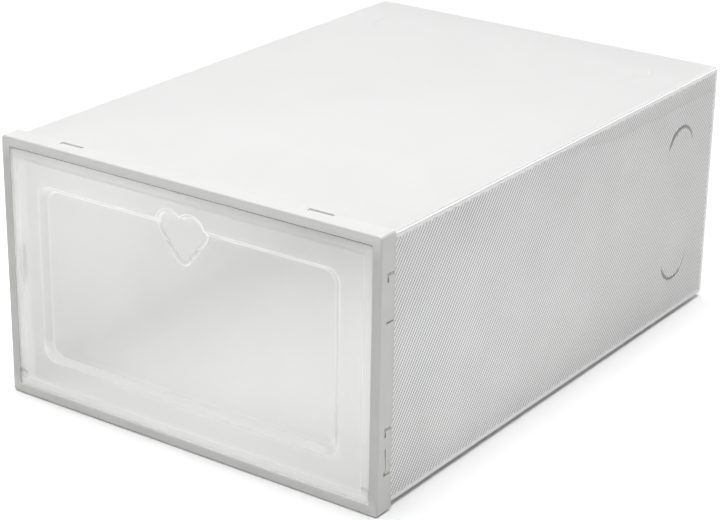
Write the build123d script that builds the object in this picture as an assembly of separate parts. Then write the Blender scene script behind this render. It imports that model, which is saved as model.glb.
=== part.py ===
from build123d import *
import math
import os

# Drop-front shoe box: a folded plastic sheet sleeve, a moulded ring frame on its front
# and a clear door that tips forward on two moulded pegs.
# Millimetres. +X right, the door faces -Y, +Z up, origin at the centre of the footprint.

# Overall size
WIDTH = 230.0
DEPTH = 330.0
HEIGHT = 140.0
FRONT = -DEPTH / 2
REAR = DEPTH / 2

# How far a cut runs past the surface it starts from, and how far joined solids overlap
OVERCUT = 1.0
OVERLAP = 0.2

# Sheet sleeve
SHEET = 0.8
SIDE_INSET = 1.75
TOP_INSET = 2.0
CREASE = 1.4
FOLD_RADIUS = 1.0
SLEEVE_START = 3.2
SLEEVE_X = WIDTH / 2 - SIDE_INSET
SLEEVE_LOW = TOP_INSET
SLEEVE_HIGH = HEIGHT - TOP_INSET
SHEET_GAP = 0.2

# Front frame: a ring of U section, open to the rear, that the sleeve slides into
FRAME_DEPTH = 11.0
BAND = 5.0
FLANGE = 2.6
OUTER_CORNER = 2.0
EDGE_ROUND = 0.9
SLIP = 0.05
INNER_WALL = 2.0
CHANNEL_CORNER = 1.0
OPENING_X = WIDTH / 2 - BAND
OPENING_LOW = BAND
OPENING_HIGH = HEIGHT - BAND

# Pockets and slots in the frame's walls
POCKET_HEIGHT = 25.0
POCKET_START = 4.6
POCKET_DEPTH = 0.9
POCKET_CENTRES = (32.0, 109.0)
GROOVE_WIDTH = 2.2
GROOVE_DEPTH = 1.3
GROOVE_FLAT = 4.0
NOTCH_HEIGHT = 3.0
SLOT_X = 75.5
SLOT_LENGTH = 14.0
SLOT_START = 7.0
SLOT_WIDTH = 2.8
SLOT_DEPTH = 0.8
WINDOW_LOW = 60.5
WINDOW_HEIGHT = 20.0
WINDOW_START = 4.2
WINDOW_WIDTH = 5.2
STOP_LOW = 111.0
STOP_HEIGHT = 8.0
STOP_REACH = 1.8
STOP_DEPTH = 2.0
STOP_GAP = 0.25
STOP_ROOT = 0.5
STOP_CHAMFER = 0.5

# Door
DOOR_GAP = 0.5
DOOR_TOP_GAP = 1.0
DOOR_X = OPENING_X - DOOR_GAP
DOOR_LOW = OPENING_LOW + DOOR_GAP
DOOR_HIGH = OPENING_HIGH - DOOR_TOP_GAP
DOOR_FACE = 0.4
DOOR_BACK = 2.1
DOOR_CORNER = 1.5
RIM_WIDTH = 4.0
RIM_DROP = 0.5
RIM_SLOPE = 0.8
FIELD_CORNER = 2.0
RECESS_X = 92.0
RECESS_LOW = 23.5
RECESS_HIGH = 118.5
RECESS_CORNER = 7.0
RECESS_DEPTH = 3.0
RECESS_SLOPE_X = 4.0
RECESS_SLOPE_Z = 2.8
DOOR_WALL = 1.5
WALL_SPREAD = 1.05

# Heart-shaped finger pull, a bead round a sunken floor
HEART_HALF = 16.5
HEART_POINT = 95.8
HEART_TIP_RADIUS = 6.0
LOBE_RADIUS = 9.4
LOBE_Z = 116.4
HEART_BEAD = 2.0
HEART_PROUD = 0.3

# Door pegs and their bores
PIVOT_DEPTH = 2.15
PIVOT_Z = 12.3
PEG_RADIUS = 1.5
PEG_CLEARANCE = 0.05
PEG_TIP_GAP = 0.3
PEG_END = OPENING_X + INNER_WALL - PEG_TIP_GAP
BOSS_LENGTH = 4.6
BOSS_HEIGHT = 4.0
BOSS_BACK = 3.7

# Rear closure and seam
FLAP_REACH = 62.0
FLAP_TAPER = 9.0
FLAP_LOW_GAP = 0.4
FLAP_HIGH_GAP = 1.2
BACK_SIDE_GAP = 0.3
TUCK_LENGTH = 22.0
TUCK_HALF = 104.0
TUCK_CORNER = 10.0
SEAM_START = -14.0
SEAM_WIDE = 11.5
SEAM_NARROW = 2.5
SEAM_BEND = 52.0
SEAM_STEP = 1.5
SEAM_END_GAP = 1.0


def slab(x0, x1, y0, y1, z0, z1):
    """A block between two corners."""
    size = (x1 - x0, y1 - y0, z1 - z0)
    centre = ((x0 + x1) / 2, (y0 + y1) / 2, (z0 + z1) / 2)
    return Pos(*centre) * Box(*size)


def plate(half_x, low, high, corner, start, end):
    """A rounded rectangle in the XZ plane, as thick as from start to end behind the front."""
    height = high - low
    plane = Plane(origin=(0, FRONT + start, (low + high) / 2), x_dir=(1, 0, 0), z_dir=(0, 1, 0))
    outline = RectangleRounded(2 * half_x, height, corner) if corner else Rectangle(2 * half_x, height)
    return extrude(plane * outline, end - start)


def tray(half_x, low, high, corner, slope_x, slope_z, start, end):
    """A solid between a rounded rectangle at start and a smaller one at end."""
    faces = []
    for depth, shrink in ((start, 0.0), (end, 1.0)):
        centre = (0, FRONT + depth, (low + high) / 2)
        plane = Plane(origin=centre, x_dir=(1, 0, 0), z_dir=(0, 1, 0))
        wide = 2 * (half_x - shrink * slope_x)
        tall = high - low - 2 * shrink * slope_z
        faces.append(plane * RectangleRounded(wide, tall, corner))
    return loft(faces)


def heart_face(inset):
    """The heart in its own plane: two lobes and a tapered foot, drawn inset inside its outer line."""
    lobe_x = HEART_HALF - LOBE_RADIUS
    rise = LOBE_Z - HEART_POINT
    reach = math.hypot(lobe_x, rise)
    side = math.sqrt(reach**2 - LOBE_RADIUS**2)
    lean = math.atan2(rise, lobe_x) - math.atan2(LOBE_RADIUS, side)
    touch_x = side * math.cos(lean)
    touch_z = HEART_POINT + side * math.sin(lean)
    foot = [(0, HEART_POINT), (touch_x, touch_z), (lobe_x, LOBE_Z), (-lobe_x, LOBE_Z), (-touch_x, touch_z)]
    face = make_face(Polyline(*foot, close=True))
    for x in (-lobe_x, lobe_x):
        face += Pos(x, LOBE_Z) * Circle(LOBE_RADIUS)
    face = fillet(face.vertices().sort_by(Axis.Y)[0], HEART_TIP_RADIUS)
    return offset(face, -inset) if inset else face


def heart_solid(inset, start, end):
    """The heart as a solid from start to end behind the front."""
    plane = Plane(origin=(0, FRONT + start, 0), x_dir=(-1, 0, 0), z_dir=(0, 1, 0))
    return extrude(plane * heart_face(inset), end - start)


def front_frame():
    """The ring: a flange with an outer and an inner wall behind it, and the sleeve's channel between."""
    ring = plate(WIDTH / 2, 0, HEIGHT, OUTER_CORNER, 0, FRAME_DEPTH)
    ring = fillet(ring.edges().filter_by(Axis.Y, reverse=True).group_by(Axis.Y)[0], EDGE_ROUND)
    channel_x = SLEEVE_X + SLIP
    channel_low = SLEEVE_LOW - SLIP
    channel_high = SLEEVE_HIGH + SLIP
    channel = plate(channel_x, channel_low, channel_high, CHANNEL_CORNER, FLANGE, FRAME_DEPTH + OVERCUT)
    core_x = OPENING_X + INNER_WALL
    core_low = OPENING_LOW - INNER_WALL
    core_high = OPENING_HIGH + INNER_WALL
    core = plate(core_x, core_low, core_high, CHANNEL_CORNER, FLANGE - OVERCUT, FRAME_DEPTH + 2 * OVERCUT)
    ring -= channel - core
    ring -= plate(OPENING_X, OPENING_LOW, OPENING_HIGH, CHANNEL_CORNER, -OVERCUT, FRAME_DEPTH + OVERCUT)
    for side in (-1, 1):
        for centre in POCKET_CENTRES:
            ring -= side_pocket(side, centre)
        ring -= inner_window(side)
        ring += door_stop(side)
        ring -= peg_bore(side)
        for top in (False, True):
            ring -= edge_slot(side, top)
    return ring


def side_pocket(side, centre):
    """A shallow pocket open to the rear, with a groove at its front that deepens downwards."""
    low = centre - POCKET_HEIGHT / 2
    high = centre + POCKET_HEIGHT / 2
    outer = WIDTH / 2
    outside = outer + OVERCUT
    start = FRONT + POCKET_START
    pocket = slab(outer - POCKET_DEPTH, outside, start, FRONT + FRAME_DEPTH + OVERCUT, low, high)
    groove_end = start + GROOVE_WIDTH
    section = Polyline(
        (outside, start, low),
        (outer - GROOVE_DEPTH, start, low),
        (outer - GROOVE_DEPTH, start, low + GROOVE_FLAT),
        (outer - POCKET_DEPTH, start, centre),
        (outside, start, centre),
        close=True,
    )
    scoop = extrude(make_face(section), groove_end - start, dir=(0, 1, 0))
    notch = slab(outer - GROOVE_DEPTH, outside, start, groove_end, high - NOTCH_HEIGHT, high)
    pocket = pocket + scoop + notch
    return pocket if side > 0 else pocket.mirror(Plane.YZ)


def inner_window(side):
    """The opening at mid height through the inner wall."""
    x0 = OPENING_X - OVERCUT
    x1 = OPENING_X + INNER_WALL + SHEET_GAP / 4
    y0 = FRONT + WINDOW_START
    window = slab(x0, x1, y0, y0 + WINDOW_WIDTH, WINDOW_LOW, WINDOW_LOW + WINDOW_HEIGHT)
    return window if side > 0 else window.mirror(Plane.YZ)


def door_stop(side):
    """The small block that the closed door leans on."""
    x0 = OPENING_X - STOP_REACH
    x1 = OPENING_X + STOP_ROOT
    y0 = FRONT + DOOR_BACK + STOP_GAP
    stop = slab(x0, x1, y0, y0 + STOP_DEPTH, STOP_LOW, STOP_LOW + STOP_HEIGHT)
    tip = stop.faces().sort_by(Axis.X)[0]
    stop = chamfer(tip.edges(), STOP_CHAMFER)
    return stop if side > 0 else stop.mirror(Plane.YZ)


def along_x(radius, x0, x1):
    """A round bar on the door's pivot line."""
    centre = ((x0 + x1) / 2, FRONT + PIVOT_DEPTH, PIVOT_Z)
    return Pos(*centre) * Rot(0, 90, 0) * Cylinder(radius, abs(x1 - x0))


def peg_bore(side):
    """The bore in the inner wall that a door peg turns in."""
    ends = (side * (OPENING_X - OVERCUT), side * (OPENING_X + INNER_WALL))
    return along_x(PEG_RADIUS + PEG_CLEARANCE, min(ends), max(ends))


def edge_slot(side, top):
    """A shallow slot near the rear edge, in the top or the bottom of the frame."""
    half = SLOT_LENGTH / 2
    y0 = FRONT + SLOT_START
    low, high = (HEIGHT - SLOT_DEPTH, HEIGHT + OVERCUT) if top else (-OVERCUT, SLOT_DEPTH)
    return slab(side * SLOT_X - half, side * SLOT_X + half, y0, y0 + SLOT_WIDTH, low, high)


def door():
    """The clear door: stepped rim, sunken field, heart pull, and a peg on a boss at each lower corner."""
    body = plate(DOOR_X, DOOR_LOW, DOOR_HIGH, DOOR_CORNER, DOOR_FACE + RIM_DROP, DOOR_BACK)
    field_inset = RIM_WIDTH + RIM_SLOPE
    body += tray(
        DOOR_X - field_inset,
        DOOR_LOW + field_inset,
        DOOR_HIGH - field_inset,
        FIELD_CORNER,
        -RIM_SLOPE,
        -RIM_SLOPE,
        DOOR_FACE,
        DOOR_FACE + RIM_DROP,
    )
    back = DOOR_FACE + RECESS_DEPTH + DOOR_WALL
    body += tray(
        RECESS_X + WALL_SPREAD,
        RECESS_LOW - WALL_SPREAD,
        RECESS_HIGH + WALL_SPREAD,
        RECESS_CORNER,
        RECESS_SLOPE_X,
        RECESS_SLOPE_Z,
        DOOR_BACK - OVERLAP,
        back,
    )
    body -= tray(
        RECESS_X,
        RECESS_LOW,
        RECESS_HIGH,
        RECESS_CORNER,
        RECESS_SLOPE_X,
        RECESS_SLOPE_Z,
        DOOR_FACE,
        DOOR_FACE + RECESS_DEPTH,
    )
    floor = DOOR_FACE + RECESS_DEPTH
    body += heart_solid(0.0, DOOR_FACE - HEART_PROUD, floor + DOOR_WALL)
    body -= heart_solid(HEART_BEAD, -OVERCUT, floor)
    for side in (-1, 1):
        ends = (side * (DOOR_X - BOSS_LENGTH), side * DOOR_X)
        y0 = FRONT + DOOR_FACE + RIM_DROP
        low = PIVOT_Z - BOSS_HEIGHT / 2
        body += slab(min(ends), max(ends), y0, FRONT + BOSS_BACK, low, low + BOSS_HEIGHT)
        ends = (side * (DOOR_X - BOSS_LENGTH), side * PEG_END)
        body += along_x(PEG_RADIUS, min(ends), max(ends))
    return body


def crease(side, top):
    """The rounded fold strip along one long edge of the sleeve."""
    x1 = SLEEVE_X
    z1 = SLEEVE_HIGH
    y0 = FRONT + SLEEVE_START
    y1 = REAR - CREASE
    strip = slab(x1 - CREASE, x1, y0, y1, z1 - CREASE, z1)
    inside = x1 - CREASE - OVERCUT
    strip -= slab(inside, x1 - SHEET, y0 - OVERCUT, y1 + OVERCUT, z1 - CREASE - OVERCUT, z1 - SHEET)
    outer = strip.edges().filter_by(Axis.Y).sort_by(lambda e: e.center().X + e.center().Z)[-1]
    strip = fillet(outer, FOLD_RADIUS)
    strip = strip if side > 0 else strip.mirror(Plane.YZ)
    return strip if top else strip.mirror(Plane.XY.offset(HEIGHT / 2))


def flat_panel(top):
    """The top or the bottom panel of the sleeve. The top panel's rear edge is free."""
    low = SLEEVE_HIGH - SHEET if top else SLEEVE_LOW
    half = SLEEVE_X - CREASE
    end = REAR if top else REAR - CREASE
    return slab(-half, half, FRONT + SLEEVE_START, end, low, low + SHEET)


def side_panel(side):
    """The left or the right panel of the sleeve."""
    ends = (side * (SLEEVE_X - SHEET), side * SLEEVE_X)
    low = SLEEVE_LOW + CREASE
    high = SLEEVE_HIGH - CREASE
    return slab(min(ends), max(ends), FRONT + SLEEVE_START, REAR - CREASE, low, high)


def rear_crease(side):
    """The fold between a side panel and its dust flap."""
    x1 = SLEEVE_X
    y1 = REAR - SHEET - SHEET_GAP
    low = SLEEVE_LOW + CREASE
    high = SLEEVE_HIGH - CREASE
    strip = slab(x1 - CREASE, x1, REAR - CREASE, y1, low, high)
    strip += slab(x1 - CREASE, x1 - SHEET, y1 - SHEET, REAR - CREASE, low, high)
    return strip if side > 0 else strip.mirror(Plane.YZ)


def dust_flap(side):
    """The flap folded in behind the back panel, tapered towards its free edge."""
    x1 = SLEEVE_X - CREASE
    x0 = x1 - FLAP_REACH
    y1 = REAR - SHEET - SHEET_GAP
    low = SLEEVE_LOW + CREASE + FLAP_LOW_GAP
    high = SLEEVE_HIGH - CREASE - FLAP_HIGH_GAP
    outline = Polyline(
        (x1, y1, low), (x1, y1, high), (x0, y1, high - FLAP_TAPER), (x0, y1, low + FLAP_TAPER), close=True
    )
    flap = extrude(make_face(outline), SHEET, dir=(0, -1, 0))
    return flap if side > 0 else flap.mirror(Plane.YZ)


def back_panel():
    """The outer rear wall."""
    half = SLEEVE_X - BACK_SIDE_GAP
    return slab(-half, half, REAR - SHEET, REAR, SLEEVE_LOW + CREASE, SLEEVE_HIGH - SHEET - CREASE)


def back_crease():
    """The fold between the bottom panel and the back panel."""
    half = SLEEVE_X - CREASE
    strip = slab(-half, half, REAR - CREASE, REAR, SLEEVE_LOW, SLEEVE_LOW + CREASE)
    past = half + OVERCUT
    inside = REAR - CREASE - OVERCUT
    strip -= slab(-past, past, inside, REAR - SHEET, SLEEVE_LOW + SHEET, SLEEVE_LOW + CREASE + OVERCUT)
    outer = strip.edges().filter_by(Axis.X).sort_by(lambda e: e.center().Y - e.center().Z)[-1]
    return fillet(outer, FOLD_RADIUS)


def tuck_crease():
    """The fold between the back panel and the tuck flap."""
    high = SLEEVE_HIGH - SHEET - SHEET_GAP
    low = high - CREASE + SHEET_GAP
    strip = slab(-TUCK_HALF, TUCK_HALF, REAR - CREASE, REAR, low, high)
    past = TUCK_HALF + OVERCUT
    inside = REAR - CREASE - OVERCUT
    strip -= slab(-past, past, inside, REAR - SHEET, low - OVERCUT, high - SHEET)
    outer = strip.edges().filter_by(Axis.X).sort_by(lambda e: e.center().Y + e.center().Z)[-1]
    return fillet(outer, FOLD_RADIUS)


def tuck_flap():
    """The flap tucked in under the top panel, with rounded front corners."""
    high = SLEEVE_HIGH - SHEET - SHEET_GAP
    flap = slab(-TUCK_HALF, TUCK_HALF, REAR - CREASE - TUCK_LENGTH, REAR - CREASE, high - SHEET, high)
    corners = flap.edges().filter_by(Axis.Z).group_by(Axis.Y)[0]
    return fillet(corners, TUCK_CORNER)


def seam_flap():
    """The joining strip welded inside the right panel, below its top edge. It widens towards the rear."""
    x1 = SLEEVE_X - SHEET - SHEET_GAP / 4
    top = SLEEVE_HIGH - CREASE - SHEET_GAP
    y1 = REAR - CREASE - TUCK_LENGTH - SEAM_END_GAP
    outline = Polyline(
        (x1, SEAM_START, top),
        (x1, y1, top),
        (x1, y1, top - SEAM_WIDE),
        (x1, SEAM_BEND, top - SEAM_WIDE + SEAM_STEP),
        (x1, SEAM_START, top - SEAM_NARROW),
        close=True,
    )
    return extrude(make_face(outline), SHEET, dir=(-1, 0, 0))


def save(node, name):
    node.label = name
    export_step(node, f"parts/{name}.step")


os.makedirs("parts", exist_ok=True)
save(front_frame(), "front_frame")
save(door(), "door")
save(flat_panel(True), "top_panel")
save(flat_panel(False), "bottom_panel")
for word, hand in (("left", -1), ("right", 1)):
    save(side_panel(hand), f"{word}_panel")
    save(crease(hand, True), f"top_{word}_crease")
    save(crease(hand, False), f"bottom_{word}_crease")
    save(rear_crease(hand), f"rear_{word}_crease")
    save(dust_flap(hand), f"{word}_dust_flap")
save(back_panel(), "back_panel")
save(back_crease(), "back_bottom_crease")
save(tuck_crease(), "tuck_crease")
save(tuck_flap(), "tuck_flap")
save(seam_flap(), "seam_flap")
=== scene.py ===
"""Looks of the drop-front shoe box: clear moulded door, satin white frame, embossed sheet sleeve."""

import math

import bmesh
import bpy
from mathutils import Matrix, Vector
from mathutils.geometry import delaunay_2d_cdt


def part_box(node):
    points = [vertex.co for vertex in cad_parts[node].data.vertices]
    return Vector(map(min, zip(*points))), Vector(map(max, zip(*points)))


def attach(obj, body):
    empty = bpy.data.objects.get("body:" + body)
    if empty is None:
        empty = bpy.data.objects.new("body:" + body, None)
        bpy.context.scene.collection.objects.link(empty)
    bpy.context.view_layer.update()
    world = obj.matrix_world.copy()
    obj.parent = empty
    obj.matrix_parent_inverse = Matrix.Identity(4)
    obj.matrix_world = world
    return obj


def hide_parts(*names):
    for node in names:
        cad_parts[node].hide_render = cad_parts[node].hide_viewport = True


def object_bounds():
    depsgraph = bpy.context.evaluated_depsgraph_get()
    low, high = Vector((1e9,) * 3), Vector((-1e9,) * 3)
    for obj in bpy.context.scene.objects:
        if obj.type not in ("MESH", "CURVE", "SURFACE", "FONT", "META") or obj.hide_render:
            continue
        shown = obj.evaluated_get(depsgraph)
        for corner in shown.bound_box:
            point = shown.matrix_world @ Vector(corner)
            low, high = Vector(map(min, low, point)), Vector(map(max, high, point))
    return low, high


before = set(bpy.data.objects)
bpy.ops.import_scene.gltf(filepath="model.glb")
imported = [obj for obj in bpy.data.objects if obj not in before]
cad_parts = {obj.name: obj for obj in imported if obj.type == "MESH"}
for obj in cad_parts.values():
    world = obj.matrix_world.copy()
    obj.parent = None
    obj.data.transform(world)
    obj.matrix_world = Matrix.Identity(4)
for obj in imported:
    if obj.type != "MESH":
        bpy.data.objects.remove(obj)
cad_low, cad_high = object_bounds()

MM = 0.001
BODY = "box"
DOOR_BODY = "door"

# Camera: the photograph's angle and perspective
CAMERA_AZIMUTH = 35.045
CAMERA_ELEVATION = 22.14
CAMERA_ROLL = 0.84
CAMERA_DISTANCE = 1.1466
CAMERA_SIDEWAYS = -0.0105
CAMERA_UP = -0.02083
CAMERA_LENS = 106.67
SENSOR_WIDTH = 36.0

# Sheet: lattice of the emboss, in millimetres
EMBOSS_ALONG = Vector((0.80, 0.99))
EMBOSS_ACROSS = Vector((1.75, -1.13))
EMBOSS_HEIGHT = 0.20
EMBOSS_MARGIN = 3.0
ROW_SHARE = 0.80
TOP_EMBOSS = 0.12
TOP_COARSER = 1.25
# Vertex layer that tints the sheet: painted shade in the emboss's hollows and the knock-out's cut, painted
# highlight on the ridges
EMBOSS_SHADE_LAYER = "emboss_painted_shade"

# Oblong knock-outs near the rear edge
VENT_RADIUS = 13.8
VENT_FROM_REAR = 39.5
VENT_SIDE_LOW = 24.5
VENT_SIDE_HIGH = 113.0
VENT_TOP_HALF = 90.0
VENT_RAISE = 0.55
VENT_CUT = 0.50
VENT_SHADE = 1.6
VENT_ON_TOP = 0.35
VENT_STEPS = (-0.9, -0.6, -0.3, -0.1, 0.1, 0.3, 0.6, 0.9)

# Ridge along each panel's edge, beside the fold
RIDGE_INSET = 0.7
RIDGE_WIDTH = 0.45
RIDGE_HEIGHT = 0.14

# How the emboss starts at a panel's rim and clears the knock-out's cut
EMBOSS_START = 0.8
EMBOSS_EDGE_KEEP = 1.8
VENT_MIDDLE = 0.1
VENT_CLEAR = (0.9, 1.8)
VENT_KEEP = 1.0
VENT_TURN = (0.02, 0.85)
VENT_RISE = (0.2, 0.9)
VENT_OUTER_WALL = (-0.9, -0.3)
VENT_INNER_WALL = (-0.1, 0.3)
VENT_GROOVE_WIDTH = 0.75
VENT_ARC_STEPS = 30
NO_VENT = -99.0
UNDIVIDED = 999.0
SHEET_EDGE_STEPS = (0.0, 0.35, RIDGE_INSET, 1.05, 1.5)
SHEET_EDGE_SPACING = 4.0

# Line pressed over the seam strip's edge, which climbs towards the front, and its weld spots
SEAM_BEND_Y = 50.0
SEAM_REAR_Z = 125.3
SEAM_SLOPE = 0.012
SEAM_BEND_Z = 126.7
SEAM_CLIMB = 7.9
SEAM_CLIMB_Y = (-50.0, 12.0)
SEAM_FADE_Y = (-20.0, 60.0)
SEAM_DEPTH = 0.26
SEAM_WIDTH = 0.55
WELD_SPOTS = ((48.0, 131.0), (76.0, 131.6))
WELD_DEPTH = 0.18
WELD_HALF_SIZE = (1.8, 1.2)

# Fold along a long edge: two ridges with a groove between, round a 1.4 mm corner; angles in degrees
CREASE_RIDGE = 0.14
CREASE_RIDGE_ANGLES = (18.0, 72.0)
CREASE_RIDGE_SPREAD = 9.0
CREASE_GROOVE = 0.22
CREASE_GROOVE_ANGLE = 45.0
CREASE_GROOVE_SPREAD = 13.0
CREASE_STEP = 5.0
CREASE_STATIONS = (-153.0, -152.2, -151.4, -150.7, -150.0)
CREASE_FADE = (CREASE_STATIONS[0], CREASE_STATIONS[-1])
CREASE_LENGTHS = 40

# Clear door, in millimetres; depths are behind the frame's front
DOOR_FRONT = 0.4
DOOR_FLAT_BACK = 2.1
RIM_WIDTH = 4.0
RIM_SLOPE = 0.8
RIM_DROP = 0.5
EDGE_ROUND = 0.35
RECESS_LOW = Vector((-92.0, 23.5))
RECESS_HIGH = Vector((92.0, 118.5))
RECESS_RADIUS = 7.0
RECESS_SLOPE = Vector((4.0, 2.8))
RECESS_DEPTH = 3.0
RECESS_WALL = 1.05
RECESS_BACK = 4.9
HEART_X = -1.2
HEART_LOBE = Vector((6.4, 115.9))
HEART_LOBE_RADIUS = 8.9
HEART_FOOT = 93.8
HEART_TIP_RADIUS = 5.2
HEART_BEAD = 1.5
HEART_TOP = 0.25
HEART_SINK = 0.75
HEART_FLOOR = 3.4
DOOR_HALF = 109.5
DOOR_CORNER = 1.5
DOOR_LEAST_CORNER = 0.6
# Band at the door's top whose edge faces take a dark material: painted shadow under the frame's lip
SHADOWED_TOP_EDGE_BAND = 1.0

# Rounding of the door's bends, as shares of the slope or in millimetres
RECESS_ROUNDING = 0.16
RIM_ROUNDING = 0.3
BACK_EDGE_ROUND = 0.5
BEAD_START, BEAD_WALL, BEAD_ROUNDING = -0.3, 0.6, 0.28
CUP_LEAD, CUP_WALL, CUP_ROUNDING = 0.35, 0.9, 0.3
BACK_CUP_START, BACK_CUP_WALL, BACK_CUP_ROUNDING = -2.2, 2.2, 0.4
SHARE_RANGE = (-0.8, 1.8)
SHARE_HALVINGS = 14

# Insets of the outlines that the door's mesh follows, and the spacing of its points
FACE_EDGE_STEPS = (0.0, 0.05, 0.15, 0.35, 3.7, 4.0, 4.3, 4.6, 4.9, 5.2)
BACK_EDGE_STEPS = (0.0, 0.25, 0.5)
RECESS_STEPS = (-0.18, -0.09, 0.0, 0.09, 0.18, 0.35, 0.5, 0.65, 0.82, 0.91, 1.0, 1.09, 1.18)
HEART_STEPS = (
    *(-0.65, -0.45, -0.3, -0.15, 0.0, 0.15, 0.3, 0.45),
    *(0.75, 0.95, 1.15, 1.35, 1.55, 1.75, 1.95, 2.2, 2.6),
)
BACK_HEART_STEPS = (-2.6, -2.2, -1.8, -1.1, -0.4, 0.0, 0.4)
DOOR_SPACING = 4.0
DOOR_GRID_INSET = 5.0
RECESS_SPACING = 2.5
HEART_SPACING = 1.0
TIP_ARC_STEPS = 10
LOBE_ARC_STEPS = 34
NOTCH_ARC_STEPS = 5
RECESS_ARC_STEPS = 12
DOOR_ARC_STEPS = 6

# Milkiness added to the door's own, by place, and how far each bend's milk spreads; the milk on the bends,
# walls and bead is partly frosting and partly painted highlight, and the extra milk on the recess's lower
# wall and bend is painted highlight
HAZE_LAYER = "haze"
HAZE_BORDER = 0.05
HAZE_WALL = 0.05
HAZE_LIT_LOW_WALL = 0.50
HAZE_BEND = 0.12
HAZE_LIT_LOW_BEND = 0.40
HAZE_RIM = 0.18
HAZE_BEAD = 0.30
HAZE_HEART = 0.08
HAZE_LOW_FADE = (3.0, 12.0)
HAZE_WALL_START = (-0.1, 0.1)
HAZE_WALL_END = (0.9, 1.1)
HAZE_BEND_SPREAD = 0.13
HAZE_RIM_SPREAD = 0.5
HAZE_BEAD_SPREAD = 0.35
HAZE_CUP_SPREAD = 0.4

# Pegs and bosses at the door's lower corners: distance from the tip and radius; depth and height
PEG_SIDES = 24
PEG_DEPTH = 2.15
PEG_Z = 12.3
PEG_PROFILE = ((0.0, 1.0), (0.12, 1.3), (0.35, 1.45), (0.7, 1.5), (6.6, 1.5))
BOSS_LENGTH = 4.6
BOSS_SECTION = ((1.1, -2.0), (1.1, 2.0), (3.0, -2.0), (3.0, 2.0), (3.7, -1.3), (3.7, 1.3))

# Catch tabs in the frame's side pockets
TAB_FOOT = 0.85
# Plates of a tab: start and end behind the frame's front, low and high z, depth of the low and high edge
UPPER_TAB_Z = 109.0
UPPER_TAB = (
    (4.55, 10.9, 10.3, 11.5, 0.04, 0.80),
    (6.2, 10.9, 7.6, 10.3, 0.06, 0.04),
    (4.55, 10.9, -11.4, 7.6, 0.06, 0.06),
)
LOWER_TAB_Z = 32.0
LOWER_TAB = (
    (4.55, 10.9, 10.3, 11.5, 0.04, 0.80),
    (6.2, 10.9, 7.6, 10.3, 0.06, 0.04),
    (4.55, 10.9, 1.5, 7.6, 0.06, 0.06),
    (6.4, 10.9, -10.2, 1.5, 0.06, 0.06),
    (4.55, 6.4, -10.2, 1.5, 0.10, 0.82),
)

# Rounding of sharp edges, in millimetres
BEVEL_SEGMENTS = 2
SHARP_ANGLE = 30.0
PEG_BEVEL = 0.25
TAB_BEVEL = 0.12
FRAME_BEVEL = 0.22
SHEET_BEVEL = 0.12

# Where painted shade and a painted highlight fall on the frame, in millimetres
SHADED_FACE_Y = (-164.6, -164.0)
SHADED_FACE_HIGH_Z = (128.0, 137.0)
SHADED_FACE_LOW_Z = (5.0, 9.0)
SHADED_FLANK_X = (113.8, 114.6)
LIT_INNER_X = (111.0, 111.5)
LIT_INNER_Y = (-164.5, -164.0)
LIT_INNER_HIGH_Z = (135.5, 136.0)
LIT_INNER_LOW_Z = (3.0, 3.5)

# Floor, and where the lights aim, in metres
FLOOR_HALF = 6.0
FLOOR_PARTS = 24
FLOOR_DROP = 0.0002
LIGHT_AIM = (0.0, 0.0, 0.07)
# Name, place, size and power of each soft light
LIGHTS = (
    ("overhead", (0.0, -0.1, 2.7), (2.1, 2.1), 94.0),
    ("front_soft", (0.9, -2.3, 2.2), (2.0, 1.0), 9.0),
    ("right_soft", (3.0, 0.3, 0.8), (1.0, 2.0), 11.0),
    ("left_soft", (-3.0, 0.3, 0.8), (1.0, 2.0), 30.0),
    ("rear_soft", (0.2, 3.0, 0.8), (2.0, 1.0), 30.0),
)
SURROUND = 0.15
# The sheet glows inside, as it does in a light tent: a fill light under the top panel
FILL_POWER = 0.165
FILL_GAP = 0.006
FILL_SIZE = (0.19, 0.29)
FILL_PLACE = (-0.012, -0.012)


def box_mm(node):
    """Lowest and highest corners of a CAD node in millimetres."""
    low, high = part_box(node)
    return low / MM, high / MM


def smoothstep(x):
    x = min(1.0, max(0.0, x))
    return x * x * (3.0 - 2.0 * x)


def ramp(x, start, end):
    """0 before start, 1 after end, smooth between."""
    return smoothstep((x - start) / (end - start))


def bell(x, middle, width):
    """1 at the middle, fading to both sides."""
    return math.exp(-(((x - middle) / width) ** 2))


# ---------------------------------------------------------------- outlines


def arc(centre, radius, start, end, steps):
    """Points on an arc between two angles in degrees."""
    points = []
    for i in range(steps + 1):
        a = math.radians(start + (end - start) * i / steps)
        points.append((centre[0] + radius * math.cos(a), centre[1] + radius * math.sin(a)))
    return points


def divided(points, spacing):
    """A closed outline with no run longer than spacing."""
    out = []
    for a, b in zip(points, points[1:] + points[:1]):
        a, b = Vector(a), Vector(b)
        parts = max(1, math.ceil((b - a).length / spacing))
        out += [tuple(a.lerp(b, i / parts)) for i in range(parts)]
    return out


def rounded_rectangle(low, high, radius, spacing=4.0, corner_steps=8):
    """A closed outline, anticlockwise."""
    (x0, y0), (x1, y1) = low, high
    r = radius
    points = arc((x1 - r, y0 + r), r, -90, 0, corner_steps)
    points += arc((x1 - r, y1 - r), r, 0, 90, corner_steps)
    points += arc((x0 + r, y1 - r), r, 90, 180, corner_steps)
    points += arc((x0 + r, y0 + r), r, 180, 270, corner_steps)
    return divided(points, spacing)


def rounded_distance(x, y, low, high, radius):
    """How far a point is inside a rounded rectangle; negative outside."""
    cx, cy = (low[0] + high[0]) / 2, (low[1] + high[1]) / 2
    dx = abs(x - cx) - (high[0] - low[0]) / 2 + radius
    dy = abs(y - cy) - (high[1] - low[1]) / 2 + radius
    return radius - math.hypot(max(dx, 0), max(dy, 0)) - min(max(dx, dy), 0)


# ---------------------------------------------------------------- meshes


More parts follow.
